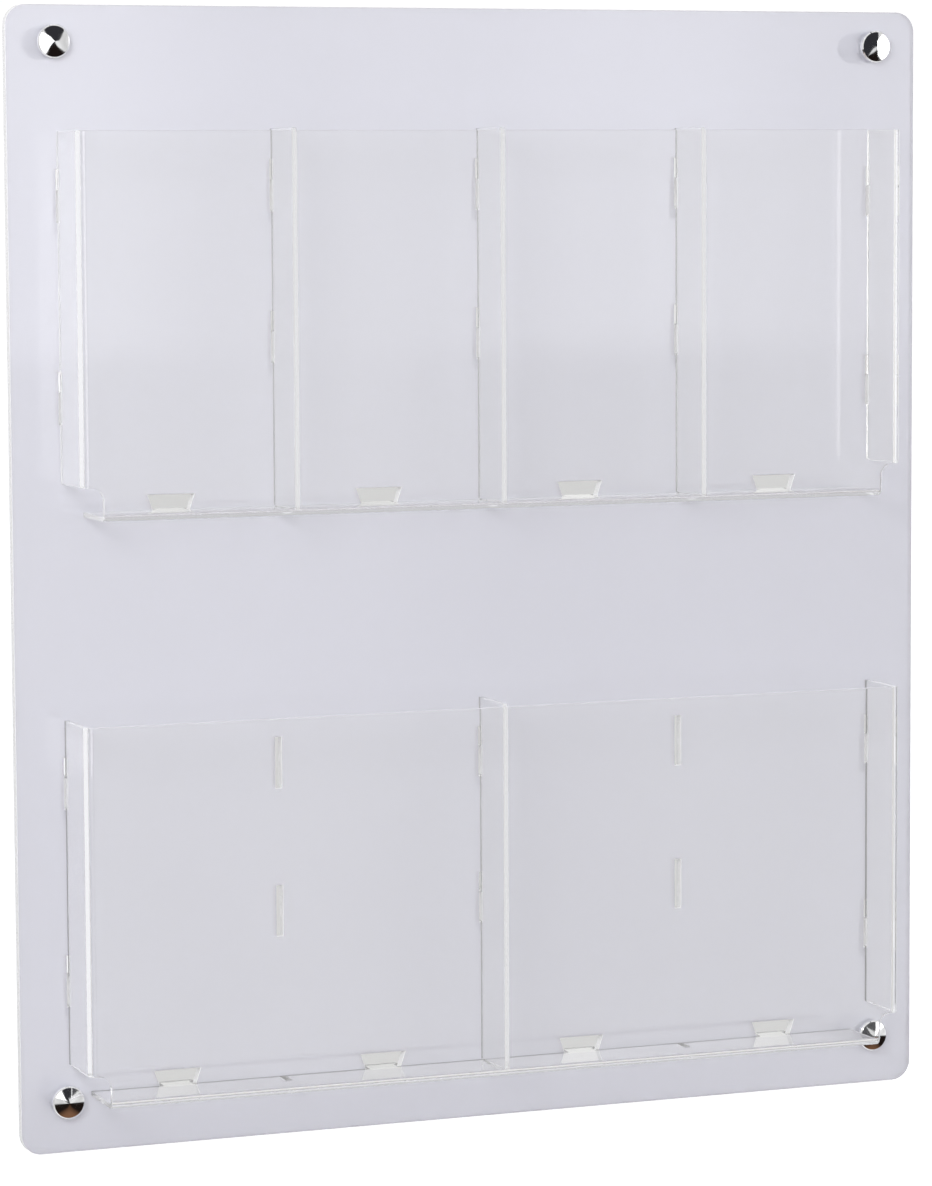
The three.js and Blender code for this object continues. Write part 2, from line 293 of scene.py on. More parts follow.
@dataclass(frozen=True)
class CutEdge(ClearFinish):
    """The laser-cut edge of a sheet: bright with a painted glow, slightly milky and finely ribbed across.

    Rear edges, close against the panel, get a painted shade line low on the rack, where the light is
    poor, and only at their softened corners higher up.
    """

    # strengths of the painted glow on upright and level edge faces
    glow: Flat = (0.88, 0.74)
    tint: Colour = (0.97, 0.975, 0.98, 1.0)
    rib_tint: float = 0.93
    clearness: float = 0.8
    roughness: float = 0.12
    roughness_spread: float = 0.4
    # tone and strength of the painted shade line on rear edges
    line_shade: float = 0.12
    line_share: float = 0.75
    painted_glow_low: float = 0.88
    shaded_below: float = 0.06
    shade_fade: float = 0.08
    corner_from: Flat = (0.5, 0.6)
    rear_from: Flat = (0.8, 0.9)

    def surface(self, wiring: Wiring) -> Socket:
        """A ribbed edge with its painted glow, under its painted shade line."""
        ribs = wiring.noise(3200.0, detail=1.0)
        tint = wiring.blend(wiring.ramp(ribs, 0.35, 0.65), self.tint, grey(self.rib_tint))
        smooth, rough = (self.roughness * (1 + hand * self.roughness_spread) for hand in (-1, 1))
        more = {"IOR": ACRYLIC_IOR, "Transmission Weight": self.clearness}
        roughness = wiring.ramp(ribs, 0.3, 0.7, smooth, rough)
        edge = wiring.body(tint, roughness, wiring.relief(ribs, 0.05, 0.1), more)
        bottom = self.shaded_below - self.shade_fade
        low = wiring.ramp(wiring.place()[2], bottom, self.shaded_below, 1.0, 0.0)
        # the edge with its painted glow, less of it low on the rack
        with_painted_glow = self.add_painted_glow(wiring, edge, wiring.ramp(low, 0.0, 1.0, 1.0, self.painted_glow_low))
        # painted shade: a dark diffuse shader standing in for the shade between sheet and panel
        shade = wiring.add("ShaderNodeBsdfDiffuse", {"Color": grey(self.line_shade)}).outputs[0]
        return wiring.mix(self.line(wiring, low), with_painted_glow, shade)

    def line(self, wiring: Wiring, low: Socket) -> Socket:
        """How much of the painted shade line shows.

        Args:
            wiring: The tree to add to.
            low: One low on the rack and nothing above.

        Returns:
            Its share: none from inside the sheet, after a turn, and none on other edges.
        """
        shape = wiring.add("ShaderNodeNewGeometry").outputs
        outward = wiring.ramp(shape["Backfacing"], 0.0, 1.0, 1.0, -1.0)
        rearward = wiring.times(wiring.parts(shape["Normal"])[1], outward)
        whole = wiring.ramp(rearward, *self.rear_from, 1.0, low)
        corner = wiring.times(wiring.ramp(rearward, *self.corner_from), whole)
        direct = wiring.math("LESS_THAN", wiring.ray("Glossy Depth"), 0.5)
        return wiring.times(wiring.times(corner, direct), self.line_share)


@dataclass(frozen=True)
class FrostedSheet(Finish):
    """Frosted acrylic: a cool white sheet that lets light and close shapes through."""

    cool: Colour = (0.885, 0.89, 0.97, 1.0)
    deep: Colour = (0.87, 0.875, 0.955, 1.0)
    clearness: float = 0.55
    frost: float = 0.045
    frost_spread: float = 0.03
    sheen: float = 1.0
    sheen_roughness: float = 0.03

    def surface(self, wiring: Wiring) -> Socket:
        """A clouded, grained body under a glossy skin."""
        cloud = wiring.noise(5.0, (1.0, 0.7))
        tone = wiring.blend(wiring.ramp(cloud, 0.3, 0.7), self.cool, self.deep)
        frost = wiring.ramp(cloud, 0.3, 0.7, self.frost - self.frost_spread, self.frost + self.frost_spread)
        grain = wiring.relief(wiring.noise(2600.0, detail=2.0), 0.05, 0.1)
        skin = {"Coat Weight": self.sheen, "Coat Roughness": self.sheen_roughness, "Coat IOR": ACRYLIC_IOR}
        more = {"IOR": ACRYLIC_IOR, "Transmission Weight": self.clearness}
        return wiring.body(tone, frost, grain, {**more, **skin})


@dataclass(frozen=True)
class Metal(Finish):
    """A metal with fine machining marks, smudges and, where it is worn, a duller tone."""

    colour: Triple
    worn: Triple
    roughness: float
    dull: float
    marks: float

    def surface(self, wiring: Wiring) -> Socket:
        """Smudged metal over its marks."""
        smudge = wiring.noise(180.0)
        tone = wiring.blend(wiring.ramp(smudge, 0.45, 0.7), (*self.colour, 1.0), (*self.worn, 1.0))
        roughness = wiring.ramp(smudge, 0.35, 0.7, self.roughness, self.dull)
        marks = wiring.relief(wiring.noise(5200.0, detail=2.0), self.marks, 0.05)
        return wiring.body(tone, roughness, marks, {"Metallic": 1.0})


@dataclass(frozen=True)
class Nylon(Finish):
    """Moulded translucent nylon, faintly mottled."""

    dim: Colour = (0.86, 0.86, 0.84, 1.0)
    pale: Colour = (0.92, 0.92, 0.91, 1.0)
    roughness: Flat = (0.38, 0.55)
    clearness: float = 0.4

    def surface(self, wiring: Wiring) -> Socket:
        """Nylon mottled in tone and gloss."""
        mottle = wiring.noise(320.0)
        tone = wiring.blend(mottle, self.dim, self.pale)
        roughness = wiring.ramp(mottle, 0.3, 0.7, *self.roughness)
        more = {"IOR": NYLON_IOR, "Transmission Weight": self.clearness}
        return wiring.body(tone, roughness, wiring.relief(mottle, 0.1, 0.1), more)


def linked(name: str, data: bpy.types.ID) -> Piece:
    """Makes an object of that data in the scene."""
    made = bpy.data.objects.new(name, data)
    bpy.context.scene.collection.objects.link(made)
    return made


# ------------------------------------------------------------------ meshes
class Shell:
    """Collects the faces of a closed shell in millimetres, each corner with its own normal."""

    def __init__(self) -> None:
        """Starts an empty shell."""
        self.points: list[Vector] = []
        self.numbers: dict[tuple[int, int, int], int] = {}
        self.faces: list[list[int]] = []
        self.normals: list[Vector] = []
        self.kinds: list[Cut] = []

    def number(self, point: Vector) -> int:
        """The number of the vertex at a point, which is made if it is new."""
        key = tuple(round(c / TOUCHING) for c in point)
        if key not in self.numbers:
            self.numbers[key] = len(self.points)
            self.points.append(point * MM)
        return self.numbers[key]

    def face(self, corners: Sequence[Vector], normals: Sequence[Vector], kind: Cut = Cut.FACE) -> None:
        """Adds a face, less any corner that falls on the one before it.

        Args:
            corners: Its corners, anticlockwise from outside.
            normals: The shading normal at each.
            kind: Whether it is a sheet's face or its cut edge.
        """
        kept: list[int] = []
        turns: list[Vector] = []
        for corner, normal in zip(corners, normals, strict=True):
            number = self.number(corner)
            if number not in kept:
                kept.append(number)
                turns.append(normal)
        if len(kept) > 2:
            self.faces.append(kept)
            self.normals.extend(turns)
            self.kinds.append(kind)

    def built(self, name: str, materials: Sequence[Material]) -> Piece:
        """Makes the object.

        Args:
            name: The object's name.
            materials: Its materials, one for each kind of face that it has.

        Returns:
            The object, linked to the scene.
        """
        mesh = bpy.data.meshes.new(name)
        mesh.from_pydata(self.points, [], self.faces)
        for material in materials:
            mesh.materials.append(material)
        for polygon, kind in zip(mesh.polygons, self.kinds, strict=True):
            polygon.use_smooth = True
            polygon.material_index = min(kind.value, len(materials) - 1)
        mesh.normals_split_custom_set([n.normalized() for n in self.normals])
        cut = mesh.attributes.new("cut_edge", "BOOLEAN", "FACE")
        cut.data.foreach_set("value", [kind is Cut.EDGE for kind in self.kinds])
        mesh.update()
        return linked(name, mesh)


def arc(centre: Flat, radius: float, start: float, end: float, steps: int) -> Loop:
    """Points along an arc, both ends included.

    Args:
        centre: The arc's centre.
        radius: Its radius.
        start: Its first angle, in degrees.
        end: Its last angle, in degrees.
        steps: How many pieces it has.

    Returns:
        The points.
    """
    angles = (math.radians(start + (end - start) * i / steps) for i in range(steps + 1))
    return [(centre[0] + radius * math.cos(a), centre[1] + radius * math.sin(a)) for a in angles]


def inset(loop: Loop, amount: float) -> Loop:
    """The loop moved to its left by an amount, with mitred corners."""
    moved = []
    for i, (x, y) in enumerate(loop):
        before = left_of(loop[i - 1], loop[i])
        after = left_of(loop[i], loop[(i + 1) % len(loop)])
        scale = amount / (1 + before.dot(after))
        moved.append((x + (before.x + after.x) * scale, y + (before.y + after.y) * scale))
    return moved


def left_of(start: Flat, end: Flat) -> Vector:
    """The unit vector to the left of the way from start to end."""
    return Vector((start[1] - end[1], end[0] - start[0])).normalized()


def inside(point: Vector, loops: Iterable[Loop]) -> bool:
    """True if the point lies within an odd number of the loops."""
    odd = False
    for loop in loops:
        for (x0, y0), (x1, y1) in zip(loop, loop[1:] + loop[:1]):
            if (y0 > point.y) != (y1 > point.y):
                odd ^= point.x < x0 + (point.y - y0) * (x1 - x0) / (y1 - y0)
    return odd


class Placing:
    """Where a flat sheet's points and normals go. The base class is a sheet facing the front."""

    def __init__(self, middle: float) -> None:
        """Keeps the Y of the sheet's middle plane, in millimetres."""
        self.middle = middle

    def axes(self, u: float, v: float) -> Axes:
        """The middle plane's point at u, v and the ways that u, v and the front face have there."""
        return Vector((u, self.middle, v)), ACROSS, UP, Vector((0, -1, 0))

    def point(self, u: float, v: float, w: float) -> Vector:
        """The point at u, v and w in front of the middle plane."""
        base, _, _, out = self.axes(u, v)
        return base + out * w

    def normal(self, u: float, v: float, flat: Vector) -> Vector:
        """A flat normal turned with the sheet."""
        _, along, up, out = self.axes(u, v)
        return along * flat.x + up * flat.y + out * flat.z


class Sideways(Placing):
    """A sheet that stands square to the panel: u is Y and v is Z."""

    def axes(self, u: float, v: float) -> Axes:
        """The plane X = 0 and its ways."""
        return Vector((0, u, v)), Vector((0, 1, 0)), UP, ACROSS


@dataclass
class LineBent(Placing):
    """A blank bent back along two upright lines and one level line, into a pocket.

    The radius is that of the middle plane. Its lines are at u = -side and side and at v = foot.
    """

    side: float
    foot: float
    bend_y: float
    radius: float
    base: float

    @property
    def allowance(self) -> float:
        """The length of the middle plane in one bend."""
        return self.radius * math.pi / 2

    def turned(self, past: float) -> Flat:
        """The angle of the bend, and the run beyond it, this far past its line."""
        return min(past / self.radius, math.pi / 2), max(0.0, past - self.allowance)

    def axes(self, u: float, v: float) -> Axes:
        """The bent middle plane's point and ways at u, v."""
        if abs(u) > self.side and v > self.foot:
            angle, run = self.turned(abs(u) - self.side)
            hand = math.copysign(1.0, u)
            sine, cosine = math.sin(angle), math.cos(angle)
            x = hand * (self.side + self.radius * sine)
            point = Vector((x, self.bend_y - self.radius * cosine + run, v + self.base))
            return point, Vector((cosine, hand * sine, 0)), UP, Vector((hand * sine, -cosine, 0))
        angle, run = self.turned(max(0.0, self.foot - v))
        sine, cosine = math.sin(angle), math.cos(angle)
        z = max(v, self.foot) - self.radius * sine + self.base
        point = Vector((u, self.bend_y - self.radius * cosine + run, z))
        return point, ACROSS, Vector((0, -sine, cosine)), Vector((0, -cosine, -sine))


@dataclass
class CutSheet:
    """A sheet cut to an outline with openings, with softened edges, then placed or bent.

    The first loop runs anticlockwise and the openings run clockwise.
    """

    loops: list[Loop]
    thick: float
    placing: Placing
    bend_us: Sequence[float] = ()
    bend_vs: Sequence[float] = ()
    soften: float = 0.22

    def built(self, name: str, materials: Sequence[Material]) -> Piece:
        """Makes the sheet.

        Args:
            name: The object's name.
            materials: The finish of its faces, and of its cut edges.

        Returns:
            The object.
        """
        shell = Shell()
        loops = [self.split(loop) for loop in self.loops]
        inner = [inset(loop, self.soften) for loop in loops]
        half = self.thick / 2
        for triangle in self.filled(inner):
            self.place(shell, [(*p, half) for p in triangle], [UP] * 3, Cut.FACE)
            self.place(shell, [(*p, -half) for p in reversed(triangle)], [-UP] * 3, Cut.FACE)
        for loop, face_loop in zip(loops, inner, strict=True):
            self.wall(shell, loop, face_loop, half)
        return shell.built(name, materials)

    def place(self, shell: Shell, corners: Sequence[Triple], normals: Sequence[Vector], kind: Cut) -> None:
        """Adds one face of the flat sheet to the shell, where the sheet goes."""
        points = [self.placing.point(*corner) for corner in corners]
        turned = [self.placing.normal(c[0], c[1], n) for c, n in zip(corners, normals, strict=True)]
        shell.face(points, turned, kind)

    def wall(self, shell: Shell, loop: Loop, face_loop: Loop, half: float) -> None:
        """Adds a loop's cut edge and the two softened corners beside it."""
        count = len(loop)
        outs = [-left_of(loop[i], loop[(i + 1) % count]) for i in range(count)]
        rim = half - self.soften
        for i in range(count):
            j = (i + 1) % count
            first = self.eased(outs[i], outs[i - 1])
            last = self.eased(outs[i], outs[j])
            a, b, c, d = loop[i], loop[j], face_loop[j], face_loop[i]
            for lean, corners in (
                (0 * UP, [(*a, -rim), (*b, -rim), (*b, rim), (*a, rim)]),
                (UP, [(*a, rim), (*b, rim), (*c, half), (*d, half)]),
                (-UP, [(*d, -half), (*c, -half), (*b, -rim), (*a, -rim)]),
            ):
                begun, ended = first + lean, last + lean
                self.place(shell, corners, [begun, ended, ended, begun], Cut.EDGE)

    @staticmethod
    def eased(own: Vector, neighbour: Vector) -> Vector:
        """The wall's normal at a corner, shared with its neighbour where they turn gently."""
        shared = own + neighbour if own.dot(neighbour) > SMOOTH_TURN else own
        return shared.normalized().to_3d()

    def split(self, loop: Loop) -> Loop:
        """The loop with a point wherever it crosses a bend's lines."""
        made: Loop = []
        for start, end in zip(loop, loop[1:] + loop[:1]):
            shares = [0.0]
            for axis, lines in ((0, self.bend_us), (1, self.bend_vs)):
                step = end[axis] - start[axis]
                if abs(step) > CLOSE:
                    shares += [(line - start[axis]) / step for line in lines]
            for share in sorted(s for s in shares if 0 <= s < 1 - CLOSE):
                point = (start[0] + (end[0] - start[0]) * share, start[1] + (end[1] - start[1]) * share)
                if not made or math.dist(made[-1], point) > TOUCHING:
                    made.append(point)
        return made

    def filled(self, loops: list[Loop]) -> list[list[Flat]]:
        """The face between the loops as triangles, none of which crosses a bend's line."""
        points: Loop = []
        edges: list[tuple[int, int]] = []
        for loop in loops:
            first = len(points)
            points += loop
            edges += [(first + i, first + (i + 1) % len(loop)) for i in range(len(loop))]
        for axis, lines in ((0, self.bend_us), (1, self.bend_vs)):
            for line in lines:
                on = [i for i, p in enumerate(points) if abs(p[axis] - line) < TOUCHING]
                on.sort(key=lambda i: points[i][1 - axis])
                edges.append((on[0], on[-1]))
        found, _, triangles, *_ = delaunay_2d_cdt([Vector(p) for p in points], edges, [], 0, CLOSE)
        kept = []
        for triangle in triangles:
            corners = [found[i] for i in triangle]
            if inside(sum(corners, Vector((0, 0))) / 3, loops):
                kept.append([(c.x, c.y) for c in corners])
        return kept


@dataclass
class Turning:
    """A part turned about the Y axis from a profile of radius and Y, in millimetres.

    The profile runs so that the material is on its left, and it starts and ends on the axis
    or closes on itself.
    """

    profile: Loop
    sides: int = 64

    def built(self, name: str, material: Material) -> Piece:
        """Makes the part at the origin."""
        shell = Shell()
        count = len(self.profile)
        closed = self.profile[0] == self.profile[-1]
        spans = [(self.profile[i], self.profile[i + 1]) for i in range(count - 1)]
        outs = [-left_of(a, b) for a, b in spans]
        for i, (a, b) in enumerate(spans):
            before = outs[i - 1] if i or closed else outs[i]
            after = outs[(i + 1) % len(outs)] if i + 1 < len(outs) or closed else outs[i]
            self.band(shell, a, b, CutSheet.eased(outs[i], before), CutSheet.eased(outs[i], after))
        return shell.built(name, [material])

    def band(self, shell: Shell, a: Flat, b: Flat, first: Vector, last: Vector) -> None:
        """Adds the band that one span of the profile sweeps."""
        for k in range(self.sides):
            now, then = (2 * math.pi * (k + step) / self.sides for step in (0, 1))
            middle = (now + then) / 2
            corners, normals = [], []
            for point, way, angle in ((a, first, now), (b, last, now), (b, last, then), (a, first, then)):
                corners.append(self.spun(point, angle))
                normals.append(self.spun((way.x, way.y), middle if point[0] < CLOSE else angle))
            shell.face(corners, normals)

    @staticmethod
    def spun(point: Flat, angle: float) -> Vector:
        """A profile's point turned about the Y axis."""
        return Vector((point[0] * math.cos(angle), point[1], point[0] * math.sin(angle)))


# ------------------------------------------------------------------ geometry node trees
class Growth:
    """A Geometry Nodes tree with named inputs, which a part is made from."""

    floats: Sequence[str] = ()
    wholes: Sequence[str] = ()
    finishes: Sequence[str] = ()

    def __init__(self, name: str) -> None:
        """Makes the tree."""
        self.tree = bpy.data.node_groups.new(name, "GeometryNodeTree")
        face = self.tree.interface
        face.new_socket("Geometry", in_out="INPUT", socket_type="NodeSocketGeometry")
        for kind, labels in (("Float", self.floats), ("Int", self.wholes), ("Material", self.finishes)):
            for label in labels:
                face.new_socket(label, in_out="INPUT", socket_type=f"NodeSocket{kind}")
        face.new_socket("Geometry", in_out="OUTPUT", socket_type="NodeSocketGeometry")
        self.wiring = Wiring(self.tree)
        self.given = self.wiring.add("NodeGroupInput").outputs
        self.wiring.add("NodeGroupOutput", {0: self.finished()})

    def finished(self) -> Socket:
        """Builds the tree and returns the geometry that it ends in."""
        raise NotImplementedError

    def repeated(self, points: Socket, finish: str) -> Socket:
        """Sets the incoming part on each point, as one mesh in the finish of that input."""
        part = {"Points": points, "Instance": self.given["Geometry"]}
        copies = self.wiring.add("GeometryNodeInstanceOnPoints", part).outputs[0]
        return self.dressed(copies, finish)

    def dressed(self, shape: Socket, finish: str, chosen: object = True) -> Socket:
        """Makes a shape one mesh and sets the finish of that input on its chosen faces."""
        real = self.wiring.add("GeometryNodeRealizeInstances", {0: shape}).outputs[0]
        values = {"Geometry": real, "Selection": chosen, "Material": self.given[finish]}
        return self.wiring.add("GeometryNodeSetMaterial", values).outputs[0]

    def grown(self, seed: Piece, values: dict[str, object], name: str | None = None) -> Piece:
        """Runs the tree on an object and settles the result into a plain mesh.

        Args:
            seed: The object whose mesh goes in.
            values: The tree's inputs by name.
            name: The name of a new object, or None for the seed's own mesh to be replaced.

        Returns:
            The object with its plain mesh.
        """
        made = seed if name is None else linked(name, seed.data)
        modifier = made.modifiers.new(self.tree.name, "NODES")
        modifier.node_group = self.tree
        for item in self.tree.interface.items_tree:
            if item.in_out == "INPUT" and item.name in values:
                modifier[item.identifier] = values[item.name]
        bpy.context.view_layer.update()
        sight = bpy.context.evaluated_depsgraph_get()
        settled = bpy.data.meshes.new_from_object(
            made.evaluated_get(sight), preserve_all_data_layers=True, depsgraph=sight
        )
        made.modifiers.clear()
        made.data = settled
        return made


class StandoffPattern(Growth):
    """Repeats a turned part at the panel's four holes, or at some of them in turn."""

    floats = ("Half Width", "Top", "Bottom")
    wholes = ("First", "Last")
    finishes = ("Finish",)

    def finished(self) -> Socket:
        """Points at the holes, the part on each, and its finish."""
        w, given = self.wiring, self.given
        index = w.add("GeometryNodeInputIndex").outputs[0]
        hand = w.minus(w.times(w.math("MODULO", index, 2.0), 2.0), 1.0)
        fall = w.times(w.math("GREATER_THAN", index, 1.5), w.minus(given["Bottom"], given["Top"]))
        height = w.math("ADD", given["Top"], fall)
        where = w.add("ShaderNodeCombineXYZ", {0: w.times(hand, given["Half Width"]), 2: height}).outputs[0]
        points = w.add("GeometryNodePoints", {"Count": len(Place), "Position": where}).outputs[0]
        early = self.compared(index, "LESS_THAN", "First")
        late = self.compared(index, "GREATER_THAN", "Last")
        unwanted = w.add("FunctionNodeBooleanMath", {0: early, 1: late}, operation="OR").outputs[0]
        kept = w.add("GeometryNodeDeleteGeometry", {"Geometry": points, "Selection": unwanted})
        return self.repeated(kept.outputs[0], "Finish")

    def compared(self, index: Socket, operation: str, limit: str) -> Socket:
        """Compares a point's number with the input of that name."""
        sides = {2: index, 3: self.given[limit]}
        node = self.wiring.add("FunctionNodeCompare", sides, data_type="INT", operation=operation)
        return node.outputs[0]


class DividerRow(Growth):
    """Repeats a divider along a tier at a pitch, from one place to another."""

    floats = ("Pitch", "Base", "Start")
    wholes = ("Count",)
    finishes = ("Face Finish", "Edge Finish")

    def finished(self) -> Socket:
        """Points along the tier, the divider on each, and its two finishes."""
        w, given = self.wiring, self.given
        index = w.add("GeometryNodeInputIndex").outputs[0]
        along = w.times(w.math("ADD", index, given["Start"]), given["Pitch"])
        where = w.add("ShaderNodeCombineXYZ", {0: along, 2: given["Base"]}).outputs[0]
        points = w.add("GeometryNodePoints", {"Count": given["Count"], "Position": where}).outputs[0]
        cut = w.add("GeometryNodeInputNamedAttribute", {"Name": "cut_edge"}, data_type="BOOLEAN").outputs[0]
        return self.dressed(self.repeated(points, "Face Finish"), "Edge Finish", cut)


class Thread(Growth):
    """A threaded rod along Y with an optional point at its rear, added to the part it is on."""

    floats = ("Radius", "Depth", "Pitch", "Length", "Front", "Point")
    wholes = ("Rings",)
    finishes = ("Finish",)
    sides = 28
    tip = 0.04

    def finished(self) -> Socket:
        """A rod whose radius follows a helix, joined to the incoming part."""
        w, given = self.wiring, self.given
        size = {"Vertices": self.sides, "Side Segments": given["Rings"]}
        size |= {"Radius": given["Radius"], "Depth": given["Length"]}
        rod = w.add("GeometryNodeMeshCylinder", size).outputs[0]
        place = w.parts(w.add("GeometryNodeInputPosition").outputs[0])
        share = self.share(place)
        turned = {0: w.times(place[0], share), 1: w.times(place[1], share), 2: place[2]}
        moved = w.add("ShaderNodeCombineXYZ", turned).outputs[0]
        shaped = w.add("GeometryNodeSetPosition", {"Geometry": rod, "Position": moved}).outputs[0]
        middle = w.math("ADD", given["Front"], w.times(given["Length"], 0.5))
        shift = w.add("ShaderNodeCombineXYZ", {1: middle}).outputs[0]
        laid = {"Geometry": shaped, "Translation": shift, "Rotation": (-math.pi / 2, 0.0, 0.0)}
        both = w.add("GeometryNodeJoinGeometry")
        for source in (given["Geometry"], w.add("GeometryNodeTransform", laid).outputs[0]):
            w.tree.links.new(source, both.inputs[0])
        return self.dressed(both.outputs[0], "Finish")

    def share(self, place: Sequence[Socket]) -> Socket:
        """How much of its radius the rod has at a place: less in the groove and at the point."""
        w, given = self.wiring, self.given
        turn = w.math("DIVIDE", w.math("ARCTAN2", place[1], place[0]), math.tau)
        phase = w.math("FRACT", w.minus(w.math("DIVIDE", place[2], given["Pitch"]), turn))
        crest = w.math("ABSOLUTE", w.minus(w.times(phase, 2.0), 1.0))
        cut = w.times(w.math("DIVIDE", given["Depth"], given["Radius"]), w.minus(1.0, crest))
        end = w.minus(w.times(given["Length"], 0.5), place[2])
        taper = w.math("DIVIDE", end, w.math("MAXIMUM", given["Point"], 1e-6))
        grooved = w.minus(1.0, cut)
        pointed = w.times(grooved, w.math("MAXIMUM", w.math("MINIMUM", taper, 1.0), self.tip))
        blunt = w.math("LESS_THAN", given["Point"], 1e-5)
        return w.math("ADD", pointed, w.times(blunt, w.minus(grooved, pointed)))


# ------------------------------------------------------------------ shared sizes
@dataclass(frozen=True)
class Sizes:
    """Sizes that several sub-assemblies share, in millimetres. Faces come from the frame."""

    sheet: float = 3.0
    slack: float = 0.4
    slot_width: float = 3.8
    slot_height: float = 30.0
    side_slots: Flat = (53.3, 168.3)
    divider_slots: Flat = (86.2, 173.8)
    hook_neck: float = 18.0
    hook_reach: float = 4.0
    hook_drop: float = 6.6
    hook_lead: float = 1.5
    tab_neck: float = 18.0
    tab_head: float = 24.0
    divider_places: Triple = (-1, 0, 1)
    tab_places: Sequence[float] = (-1.5, -0.5, 0.5, 1.5)

    @property
    def panel_front(self) -> float:
        """The Y of the panel's front face."""
        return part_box("back_panel")[0].y / MM

    @property
    def panel_back(self) -> float:
        """The Y of the panel's back face."""
        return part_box("back_panel")[1].y / MM

    @property
    def sheet_rear(self) -> float:
        """The Y of the rear edge of flanges, shelves and dividers."""
        return self.panel_front - self.slack

    @property
    def finger_front(self) -> float:
        """The Y of the front of the fingers behind the panel."""
        return self.panel_back + self.slack

    @property
    def finger_rear(self) -> float:
        """The Y of the back of the fingers behind the panel."""
        return self.finger_front + self.hook_reach

    def base(self, level: Level) -> float:
        """The height of a tier's underside."""
        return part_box(f"{level.value}_pocket")[0].z / MM

    def half_width(self) -> float:
        """Half the width of a pocket."""
        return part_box("upper_pocket")[1].x / MM

    def pitch(self) -> float:
        """From one divider place to the next."""
        return (self.half_width() - self.sheet / 2) / 2

    def hook(self, slot_bottom: float) -> Loop:
        """A hook's outline in Y and Z, upwards from the sheet's rear edge."""
        low = slot_bottom + self.slack
        top = low + self.hook_neck
        tip = slot_bottom - self.hook_drop
        front, rear, lead = self.finger_front, self.finger_rear, self.hook_lead
        return [
            (self.sheet_rear, low),
            (front, low),
            (front, tip + lead),
            (front + lead, tip),
            (rear, tip),
            (rear, top - lead),
            (rear - lead, top),
            (self.sheet_rear, top),
        ]


SIZES = Sizes()


def hooked(piece: Piece, body: str, slot: str, *nodes: str) -> None:
    """Names what a finished piece rides on, and hides the frame nodes it stands for.

    Args:
        piece: The finished piece.
        body: The body that it rides on.
        slot: The record's material slot; not used.
        nodes: The nodes that it replaces.
    """
    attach(piece, body)
    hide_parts(*nodes)
    LOG.info("%s rides on %s: %d faces", piece.name, body, len(piece.data.polygons))


# ------------------------------------------------------------------ sub-assemblies
@dataclass
class BackPanel:
    """The frosted panel with its stud holes, hook slots and shelf-tab openings."""

    corner: float = 12.0
    corner_steps: int = 12
    stud_hole: float = 4.5
    hole_sides: int = 24
    opening_low: float = 20.0
    opening_high: float = 28.0
    opening_height: float = 12.0

    def build(self, face: Material, edge: Material) -> None:
        """Cuts and dresses the panel."""
        sheet = CutSheet([self.outline(), *self.openings()], self.thick(), Placing(self.middle()))
        piece = sheet.built("frosted_panel", [face, edge])
        hooked(piece, "rack", "frosted_acrylic", "back_panel")

    def thick(self) -> float:
        """The panel's thickness."""
        return SIZES.panel_back - SIZES.panel_front

    def middle(self) -> float:
        """The Y of its middle plane."""
        return (SIZES.panel_back + SIZES.panel_front) / 2

    def outline(self) -> Loop:
        """Its outline with rounded corners."""
        low, high = (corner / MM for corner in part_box("back_panel"))
        inner = [(high.x - self.corner, high.z - self.corner), (low.x + self.corner, high.z - self.corner)]
        inner += [(low.x + self.corner, low.z + self.corner), (high.x - self.corner, low.z + self.corner)]
        loop: Loop = []
        for i, centre in enumerate(inner):
            loop += arc(centre, self.corner, 90 * i, 90 * (i + 1), self.corner_steps)
        return loop

    def openings(self) -> list[Loop]:
        """Every opening, clockwise."""
        steps, step = self.hole_sides - 1, 360 / self.hole_sides
        made = [arc(hole_centre(place), self.stud_hole, 360, step, steps) for place in Place]
        side = SIZES.half_width() - SIZES.sheet / 2
        for level in Level:
            base = SIZES.base(level)
            made += [self.slot(x, base + low) for x in (-side, side) for low in SIZES.side_slots]
            places = [SIZES.pitch() * n for n in SIZES.divider_places]
            made += [self.slot(x, base + low) for x in places for low in SIZES.divider_slots]
            made += [self.tab_opening(SIZES.pitch() * n, base) for n in SIZES.tab_places]
        return made

    def slot(self, x: float, bottom: float) -> Loop:
        """A hook slot, clockwise."""
        half, top = SIZES.slot_width / 2, bottom + SIZES.slot_height
        return [(x - half, bottom), (x - half, top), (x + half, top), (x + half, bottom)]

    def tab_opening(self, x: float, base: float) -> Loop:
        """A shelf tab's opening, wider at its top, clockwise."""
        bottom = base - SIZES.slack
        top = bottom + self.opening_height
        low, high = self.opening_low / 2, self.opening_high / 2
        return [(x - low, bottom), (x - high, top), (x + high, top), (x + low, bottom)]


